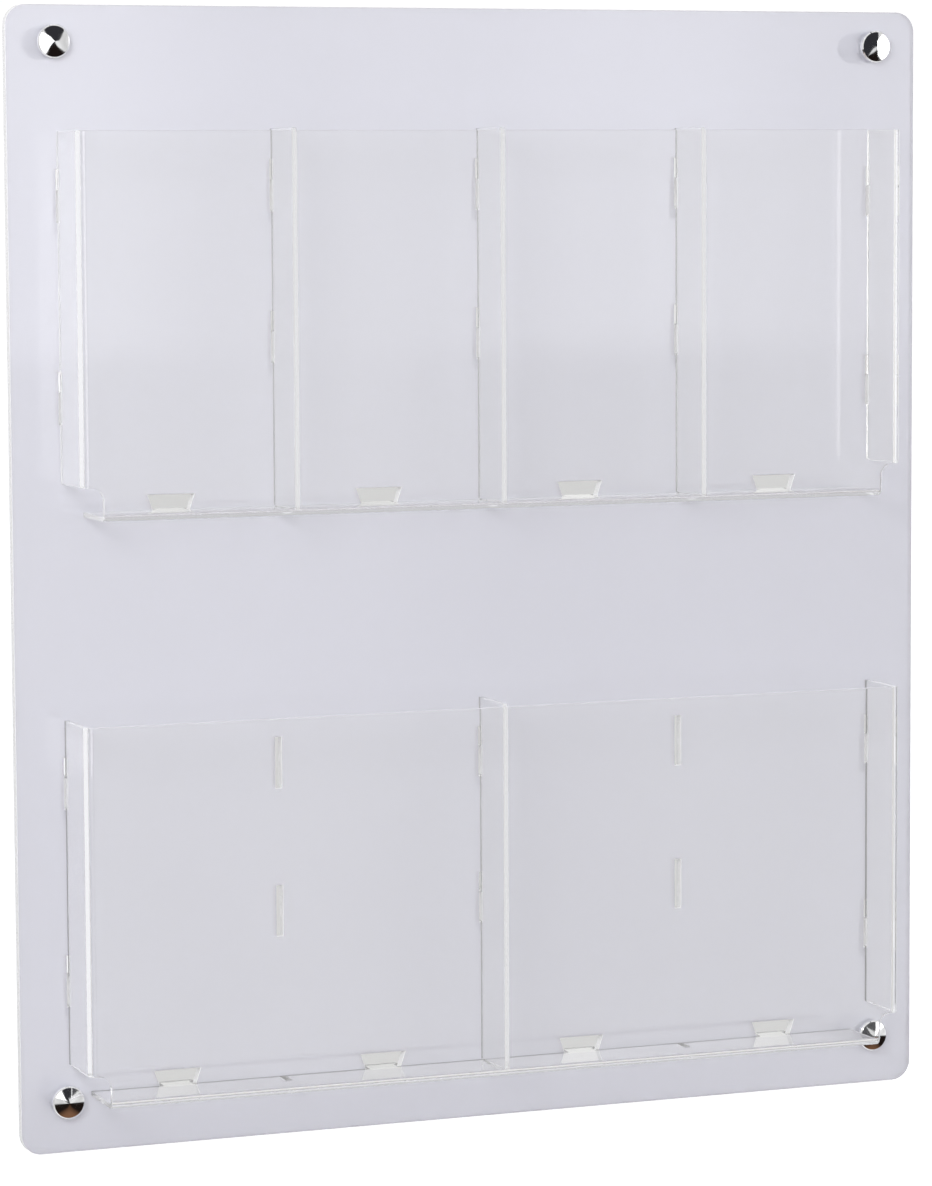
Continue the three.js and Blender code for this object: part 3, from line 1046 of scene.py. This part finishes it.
@dataclass
class Pocket:
    """A clear pocket, bent from one blank: front, side flanges with hooks, shelf with tabs."""

    level: Level
    outer_radius: float = 5.0
    flange_bottom: float = 19.5
    notch_inset: float = 13.0
    notch_radius: float = 7.5
    notch_steps: int = 10
    bend_steps: int = 14
    tab_chamfer: float = 1.5
    slot_length: float = 10.8
    slot_from_panel: float = 2.6
    bends: LineBent = field(init=False)

    def __post_init__(self) -> None:
        """Places the bend lines from the frame."""
        low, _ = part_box(f"{self.level.value}_pocket")
        self.bends = LineBent(
            side=SIZES.half_width() - self.outer_radius,
            foot=self.outer_radius,
            bend_y=low.y / MM + self.outer_radius,
            radius=self.outer_radius - SIZES.sheet / 2,
            base=SIZES.base(self.level),
        )

    def build(self, face: Material, edge: Material) -> None:
        """Cuts the blank, bends it and dresses it."""
        steps = [self.bends.allowance * k / self.bend_steps for k in range(self.bend_steps + 1)]
        sides = [hand * (self.bends.side + step) for hand in (-1, 1) for step in steps]
        feet = [self.bends.foot - step for step in steps]
        sheet = CutSheet([self.blank(), *self.shelf_slots()], SIZES.sheet, self.bends, sides, feet)
        piece = sheet.built(f"{self.level.value}_clear_pocket", [face, edge])
        body = f"{self.level.value}_pocket"
        hooked(piece, body, "clear_acrylic", body)

    def flange_u(self, y: float) -> float:
        """Where a depth on a side flange lies on the flat blank."""
        return self.bends.side + self.bends.allowance + y - self.bends.bend_y

    def shelf_v(self, y: float) -> float:
        """Where a depth on the shelf lies on the flat blank."""
        return self.bends.foot - self.bends.allowance - (y - self.bends.bend_y)

    def blank(self) -> Loop:
        """The flat blank's outline, anticlockwise from the shelf's rear left corner."""
        right = self.right_side()
        left = [(-u, v) for u, v in reversed(right)]
        return [*self.shelf_edge(), *right, *left]

    def right_side(self) -> Loop:
        """Up from the shelf's front right corner, round the notch and the flange."""
        half_shelf = SIZES.half_width() - self.notch_inset
        centre = (half_shelf + self.notch_radius, self.flange_bottom - self.notch_radius)
        low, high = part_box(f"{self.level.value}_pocket")
        top = (high.z - low.z) / MM
        rear = self.flange_u(SIZES.sheet_rear)
        loop = [(half_shelf, self.bends.foot), *arc(centre, self.notch_radius, 180, 90, self.notch_steps)]
        loop += [(self.bends.side, self.flange_bottom), (rear, self.flange_bottom)]
        for slot_bottom in SIZES.side_slots:
            loop += [(self.flange_u(y), z) for y, z in SIZES.hook(slot_bottom)]
        return [*loop, (rear, top)]

    def shelf_edge(self) -> Loop:
        """The shelf's rear edge with its tabs, from left to right."""
        half_shelf = SIZES.half_width() - self.notch_inset
        edge = self.shelf_v(SIZES.sheet_rear)
        behind = self.shelf_v(SIZES.finger_front)
        end = self.shelf_v(SIZES.finger_rear)
        neck, head, corner = SIZES.tab_neck / 2, SIZES.tab_head / 2, self.tab_chamfer
        left = [(-neck, edge), (-neck, behind), (-head, behind)]
        left += [(-head, end + corner), (-head + corner, end)]
        loop = [(-half_shelf, edge)]
        for n in SIZES.tab_places:
            x = n * SIZES.pitch()
            loop += [(x + u, v) for u, v in left]
            loop += [(x - u, v) for u, v in reversed(left)]
        return [*loop, (half_shelf, edge)]

    def shelf_slots(self) -> list[Loop]:
        """The slots for the dividers' feet, clockwise."""
        rear = SIZES.panel_front - self.slot_from_panel
        low, high = self.shelf_v(rear), self.shelf_v(rear - self.slot_length)
        half = SIZES.slot_width / 2
        slot = [(-half, low), (-half, high), (half, high), (half, low)]
        return [[(n * SIZES.pitch() + u, v) for u, v in slot] for n in SIZES.divider_places]


@dataclass
class Dividers:
    """The clear dividers of one tier: each has two hooks and a foot in the shelf's slot."""

    level: Level
    depth: float = 39.0
    proud: float = 1.5
    tier_height: float = 220.0
    foot_length: float = 10.0
    foot_from_panel: float = 3.0

    def build(self, row: DividerRow, finishes: tuple[Material, Material]) -> None:
        """Cuts one divider and sets it at each place that this tier fills.

        Args:
            row: The tree that places dividers.
            finishes: The finish of the faces, and of the cut edges.
        """
        pattern = CutSheet([self.outline()], SIZES.sheet, Sideways(0.0)).built("divider_pattern", finishes)
        for name, start in self.places():
            values = {
                "Pitch": SIZES.pitch() * MM,
                "Base": SIZES.base(self.level) * MM,
                "Start": start,
                "Count": 1,
                "Face Finish": finishes[0],
                "Edge Finish": finishes[1],
            }
            body = f"{self.level.value}_divider_{name}"
            piece = row.grown(pattern, values, f"{self.level.value}_clear_divider_{name}")
            hooked(piece, body, "clear_divider", body)
        bpy.data.objects.remove(pattern)

    def places(self) -> list[tuple[str, float]]:
        """The names and place numbers of the dividers that this tier holds."""
        if self.level is Level.UPPER:
            return [("left", -1.0), ("centre", 0.0), ("right", 1.0)]
        return [("centre", 0.0)]

    def outline(self) -> Loop:
        """A divider's outline in Y and Z, anticlockwise, above the shelf's underside."""
        front = SIZES.panel_front - self.depth
        foot = SIZES.sheet + SIZES.slack
        top = self.tier_height + self.proud
        rear = SIZES.panel_front - self.foot_from_panel
        start = rear - self.foot_length
        loop = [(front, foot), (start, foot), (start, SIZES.slack), (rear, SIZES.slack), (rear, foot)]
        loop += [(SIZES.sheet_rear, foot)]
        for slot_bottom in SIZES.divider_slots:
            loop += SIZES.hook(slot_bottom)
        return [*loop, (SIZES.sheet_rear, top), (front, top)]


def hole_centre(place: Place) -> Flat:
    """The X and Z of a standoff's axis, from the frame."""
    low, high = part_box(f"cap_{place.value}")
    return ((low.x + high.x) / 2 / MM, (low.z + high.z) / 2 / MM)


@dataclass
class Standoffs:
    """Four polished standoffs: cap and stud in front, washers, barrel and wall screw behind."""

    radius: float = 9.5
    bore: float = 4.2
    socket: float = 3.0
    bevel: float = 0.7
    edge: float = 0.3
    cone: float = 1.4
    dome: float = 0.08
    turning_marks: int = 14
    mark_height: float = 0.012
    washer_radius: float = 8.0
    washer_bore: float = 4.3
    washer_edge: float = 0.15
    barrel_edge: float = 0.6
    screw_hole: float = 2.5
    web: float = 4.0
    stud_radius: float = 3.9
    stud_thread_depth: float = 0.65
    stud_pitch: float = 1.25
    screw_head: float = 3.7
    screw_head_height: float = 2.6
    screw_head_round: float = 1.0
    driver_socket: tuple[Flat, Flat, Flat] = ((0.0, 1.5), (1.1, 1.4), (1.3, 0.0))
    screw_radius: float = 2.1
    screw_thread_depth: float = 0.6
    screw_pitch: float = 1.8
    screw_point: float = 5.0
    screw_overlap: float = 0.4
    rings_a_turn: int = 8

    def span(self, node: str) -> Flat:
        """The Y of a node's front and of its rear."""
        low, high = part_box(f"{node}_{Place.TOP_LEFT.value}")
        return low.y / MM, high.y / MM

    def cap_profile(self) -> Loop:
        """The cap: a socket behind and a shallow, slightly domed cone in front."""
        front, rear = self.span("cap")
        shoulder = front + self.cone
        loop = [(0.0, front)]
        run = self.radius - self.bevel
        for mark in range(1, self.turning_marks):
            share = mark / self.turning_marks
            lift = self.dome * math.sin(math.pi * share) + (self.mark_height if mark % 2 else 0.0)
            loop.append((run * share, front + self.cone * share - lift))
        loop += [(run, shoulder), (self.radius, shoulder + self.bevel), (self.radius, rear - self.edge)]
        loop += [(self.radius - self.edge, rear), (self.bore, rear), (self.bore, rear - self.socket)]
        return [*loop, (0.0, rear - self.socket)]

    def barrel_profile(self) -> Loop:
        """The barrel: a bore from the front and a web with a screw hole behind."""
        front, rear = self.span("barrel")
        soft = self.barrel_edge
        loop = [(self.screw_hole, rear), (self.screw_hole, rear - self.web), (self.bore, rear - self.web)]
        loop += [(self.bore, front), (self.radius - soft, front), (self.radius, front + soft)]
        return [*loop, (self.radius, rear - soft), (self.radius - soft, rear), (self.screw_hole, rear)]

    def washer_profile(self, node: str) -> Loop:
        """A flat washer with softened outer corners."""
        front, rear = self.span(node)
        soft, bore, rim = self.washer_edge, self.washer_bore, self.washer_radius
        loop = [(bore, rear), (bore, front), (rim - soft, front), (rim, front + soft)]
        return [*loop, (rim, rear - soft), (rim - soft, rear), (bore, rear)]

    def head_profile(self) -> Loop:
        """A screw's domed pan head with a driver's socket."""
        front, _ = self.span("wall_screw")
        seat, bend = front + self.screw_head_height, self.screw_head_round
        centre = (self.screw_head - bend, front + bend)
        socket = [(radius, front + depth) for radius, depth in self.driver_socket]
        return [*socket, *arc(centre, bend, -90, 0, 6), (self.screw_head, seat), (0.0, seat)]

    def everywhere(self) -> dict[str, object]:
        """The inputs that place a part at all four holes."""
        (left, top), (_, bottom) = hole_centre(Place.TOP_LEFT), hole_centre(Place.BOTTOM_LEFT)
        return {"Half Width": -left * MM, "Top": top * MM, "Bottom": bottom * MM, "First": 0, "Last": 3}

    def stud_thread(self) -> dict[str, object]:
        """The inputs of a stud's thread."""
        sizes = {"Radius": self.stud_radius, "Depth": self.stud_thread_depth, "Pitch": self.stud_pitch}
        return self.thread({**sizes, "Point": 0.0}, *self.span("stud"))

    def screw_thread(self) -> dict[str, object]:
        """The inputs of a wall screw's thread."""
        front, rear = self.span("wall_screw")
        start = front + self.screw_head_height - self.screw_overlap
        sizes = {"Radius": self.screw_radius, "Depth": self.screw_thread_depth, "Pitch": self.screw_pitch}
        return self.thread({**sizes, "Point": self.screw_point}, start, rear)

    def thread(self, sizes: dict[str, float], front: float, rear: float) -> dict[str, object]:
        """A thread's inputs from its sizes in millimetres."""
        length = rear - front
        values = {name: size * MM for name, size in {**sizes, "Length": length, "Front": front}.items()}
        return {**values, "Rings": round(self.rings_a_turn * length / sizes["Pitch"])}

    def build(self, finishes: dict[str, Material]) -> None:
        """Turns every part and sets it at its holes.

        Args:
            finishes: The chrome, satin, steel and nylon.
        """
        chrome, satin, steel, nylon = (finishes[name] for name in ("chrome", "satin", "steel", "nylon"))
        pattern, thread = StandoffPattern("standoff_pattern"), Thread("screw_thread")
        barrels = Turning(self.barrel_profile(), 72).built("standoff_barrels", satin)
        rear_washers = Turning(self.washer_profile("rear_washer"), 48).built("rear_nylon_washers", nylon)
        screws = Turning(self.head_profile(), 40).built("wall_screws", steel)
        thread.grown(screws, {**self.screw_thread(), "Finish": steel})
        for piece, finish, slot, node in (
            (barrels, satin, "polished_metal", "barrel"),
            (rear_washers, nylon, "washer_nylon", "rear_washer"),
            (screws, steel, "screw_steel", "wall_screw"),
        ):
            pattern.grown(piece, {**self.everywhere(), "Finish": finish})
            hooked(piece, "rack", slot, *(f"{node}_{place.value}" for place in Place))
        cap = Turning(self.cap_profile(), 128).built("cap_pattern", chrome)
        washer = Turning(self.washer_profile("front_washer"), 48).built("washer_pattern", nylon)
        stud = linked("stud_pattern", bpy.data.meshes.new("stud_pattern"))
        thread.grown(stud, {**self.stud_thread(), "Finish": steel})
        for number, place in enumerate(Place):
            here = {**self.everywhere(), "First": number, "Last": number}
            for source, finish, slot, node, body in (
                (cap, chrome, "polished_metal", "cap", "cap"),
                (stud, steel, "screw_steel", "stud", "cap"),
                (washer, nylon, "washer_nylon", "front_washer", "washer"),
            ):
                piece = pattern.grown(source, {**here, "Finish": finish}, f"turned_{node}_{place.value}")
                hooked(piece, f"{body}_{place.value}", slot, f"{node}_{place.value}")
        for spare in (cap, washer, stud):
            bpy.data.objects.remove(spare)


# ------------------------------------------------------------------ studio
@dataclass(frozen=True)
class Lamp:
    """A large soft lamp, placed by the way to it from the rack's middle, in degrees."""

    name: str
    azimuth: float
    elevation: float
    distance: float
    size: Flat
    brightness: float

    def build(self) -> None:
        """Hangs the lamp, facing the rack."""
        a, e = math.radians(self.azimuth), math.radians(self.elevation)
        way = Vector((math.sin(a) * math.cos(e), -math.cos(a) * math.cos(e), math.sin(e)))
        data = bpy.data.lights.new(self.name, "AREA")
        data.shape = "RECTANGLE"
        data.size, data.size_y = self.size
        data.energy = self.brightness * math.pi * self.size[0] * self.size[1]
        lamp = linked(self.name, data)
        turn = way.to_track_quat("Z", "Y").to_matrix().to_4x4()
        lamp.matrix_world = Matrix.Translation(way * self.distance) @ turn
        lamp.visible_camera = False


@dataclass
class Studio:
    """The camera, the soft lamps, the pale floor and the surroundings.

    The tent's angles are in degrees, and its heights are the Z of the way to them.
    """

    camera_at: Triple = (-0.94576, -2.44527, 0.22867)
    right: Triple = (0.932040, -0.362313, -0.005478)
    up: Triple = (0.038928, 0.085088, 0.995613)
    lens: float = 133.03
    tent: float = 0.95
    fold: float = 0.65
    folds_a_radian: float = 9.0
    gap_azimuth: float = 16.5
    gap_width: float = 30.0
    gap_fade: float = 0.02
    card_top: float = 0.06
    card_side: float = 11.5
    card_fade: float = 0.015
    bench_behind: Flat = (-0.20, -0.22)
    bench_shade: Flat = (-0.42, -0.52)
    bench_front: Flat = (-0.25, -0.45)
    gap_colour: Colour = (0.03, 0.03, 0.035, 1.0)
    bench_colour: Colour = (0.2, 0.1, 0.055, 1.0)
    shade_colour: Colour = (0.012, 0.008, 0.007, 1.0)
    page: float = 1.05
    floor_tones: Flat = (0.8, 0.84)
    floor_glow: float = 0.5
    floor_glow_colour: Colour = (0.96, 0.97, 1.0, 1.0)
    glow_through_sheets: float = 0.05
    floor_height: float = -1.1
    floor_front: float = -0.4
    floor_reach: float = 15.0
    lamps: tuple[Lamp, ...] = (
        Lamp("upper_left_key", -41.0, 22.0, 1.9, (0.6, 0.6), 13.5),
        Lamp("left_softbox", -20.0, 6.0, 2.3, (1.5, 1.3), 1.5),
        Lamp("right_softbox", 52.0, 8.0, 2.3, (1.5, 1.3), 1.65),
    )

    def build(self) -> None:
        """Sets up everything that isn't the rack."""
        self.camera()
        for lamp in self.lamps:
            lamp.build()
        self.surroundings()
        self.floor()
        bpy.context.scene.view_settings.view_transform = "Standard"

    def camera(self) -> None:
        """Makes the camera and points it."""
        right, up = Vector(self.right).normalized(), Vector(self.up).normalized()
        turn = Matrix((right, up, right.cross(up))).transposed()
        camera = linked("camera", bpy.data.cameras.new("camera"))
        camera.matrix_world = Matrix.Translation(self.camera_at) @ turn.to_4x4()
        camera.data.lens = self.lens
        camera.data.sensor_width = 36.0
        camera.data.sensor_fit = "AUTO"
        camera.data.clip_end = 100.0
        bpy.context.scene.camera = camera

    def surroundings(self) -> None:
        """A white tent with a low card and a dark gap in front, above a brown bench."""
        world = bpy.data.worlds.new("surroundings")
        world.use_nodes = True
        bpy.context.scene.world = world
        wiring = Wiring(world.node_tree)
        way = wiring.place("Generated")
        turn = wiring.math("ARCTAN2", way[0], wiring.times(way[1], -1.0))
        opened = wiring.math("ABSOLUTE", wiring.minus(turn, math.radians(self.gap_azimuth)))
        half, side = math.radians(self.gap_width) / 2, math.radians(self.card_side)
        tent = wiring.ramp(opened, half, half + self.gap_fade)
        low = wiring.ramp(way[2], self.card_top, self.card_top + self.card_fade, 1.0, 0.0)
        card = wiring.times(low, wiring.ramp(turn, side, side + self.card_fade))
        values = {"W": turn, "Scale": self.folds_a_radian, "Detail": 1.0}
        folds = wiring.add("ShaderNodeTexNoise", values, noise_dimensions="1D").outputs[0]
        cloth = wiring.blend(wiring.ramp(folds, 0.3, 0.7), grey(self.fold), grey(self.tent))
        walls = wiring.blend(wiring.math("MAXIMUM", tent, card), self.gap_colour, cloth)
        below = wiring.ramp(way[2], *self.bench_behind)
        in_front = wiring.ramp(way[1], *self.bench_front)
        bench = wiring.blend(wiring.ramp(way[2], *self.bench_shade), self.shade_colour, self.bench_colour)
        cove = wiring.blend(wiring.times(below, in_front), walls, bench)
        tone = wiring.blend(wiring.ray("Is Camera Ray"), cove, grey(self.page))
        light = wiring.add("ShaderNodeBackground", {0: tone})
        wiring.add("ShaderNodeOutputWorld", {"Surface": light.outputs[0]})

    def floor(self) -> None:
        """A plain pale floor below and behind the rack, which glows faintly to the camera."""
        made = bpy.data.materials.new("pale_floor")
        made.use_nodes = True
        wiring = Wiring(made.node_tree)
        tone = wiring.blend(wiring.noise(3.0), *(grey(level) for level in self.floor_tones))
        through = wiring.times(wiring.ray("Is Transmission Ray"), self.glow_through_sheets)
        seen = wiring.math("MAXIMUM", wiring.ray("Is Camera Ray"), through)
        plain = wiring.add("ShaderNodeBsdfPrincipled", {"Base Color": tone, "Roughness": 0.6})
        glow = {"Color": self.floor_glow_colour, "Strength": wiring.times(seen, self.floor_glow)}
        lit = wiring.add("ShaderNodeEmission", glow)
        both = wiring.add("ShaderNodeAddShader", {0: plain.outputs[0], 1: lit.outputs[0]})
        wiring.add("ShaderNodeOutputMaterial", {"Surface": both.outputs[0]})
        reach, front, drop = self.floor_reach, self.floor_front, self.floor_height
        corners = [(-reach, front), (reach, front), (reach, 2 * reach), (-reach, 2 * reach)]
        mesh = bpy.data.meshes.new("floor")
        mesh.from_pydata([(x, y, drop) for x, y in corners], [], [(0, 1, 2, 3)])
        mesh.materials.append(made)
        linked("floor", mesh)


def main() -> None:
    """Builds the studio and the rack, piece by piece."""
    logging.basicConfig(level=logging.INFO, format="%(name)s: %(message)s")
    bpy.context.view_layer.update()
    Studio().build()
    feet = tuple(SIZES.base(level) * MM for level in Level)
    # clear sheets and cut edges carry the painted glow; the cut edges also the painted shade line
    clear = ClearSheet("clear_acrylic", feet=feet).material(), CutEdge("clear_cut_edge").material()
    # painted glow strengths of the divider sheets and their edges
    glow = (0.8, 0.74)
    thin_edge = CutEdge("divider_cut_edge", glow, clearness=0.92, line_share=0.5, shaded_below=1.0)
    thin = ClearSheet("divider_acrylic", glow).material(), thin_edge.material()
    frosted_edge = CutEdge("frosted_cut_edge", tint=(0.95, 0.95, 0.97, 1.0), clearness=0.2, roughness=0.3)
    BackPanel().build(FrostedSheet("frosted_acrylic").material(), frosted_edge.material())
    row = DividerRow("divider_row")
    for level in Level:
        Pocket(level).build(*clear)
        Dividers(level).build(row, thin)
    finishes = {
        "chrome": Metal("polished_chrome", (0.93, 0.93, 0.94), (0.86, 0.86, 0.87), 0.035, 0.09, 0.04),
        "satin": Metal("satin_chrome", (0.6, 0.61, 0.65), (0.54, 0.55, 0.59), 0.22, 0.34, 0.08),
        "steel": Metal("zinc_steel", (0.66, 0.67, 0.68), (0.5, 0.5, 0.49), 0.28, 0.42, 0.1),
        "nylon": Nylon("washer_nylon"),
    }
    Standoffs().build({name: finish.material() for name, finish in finishes.items()})


if __name__ == "__main__":
    main()
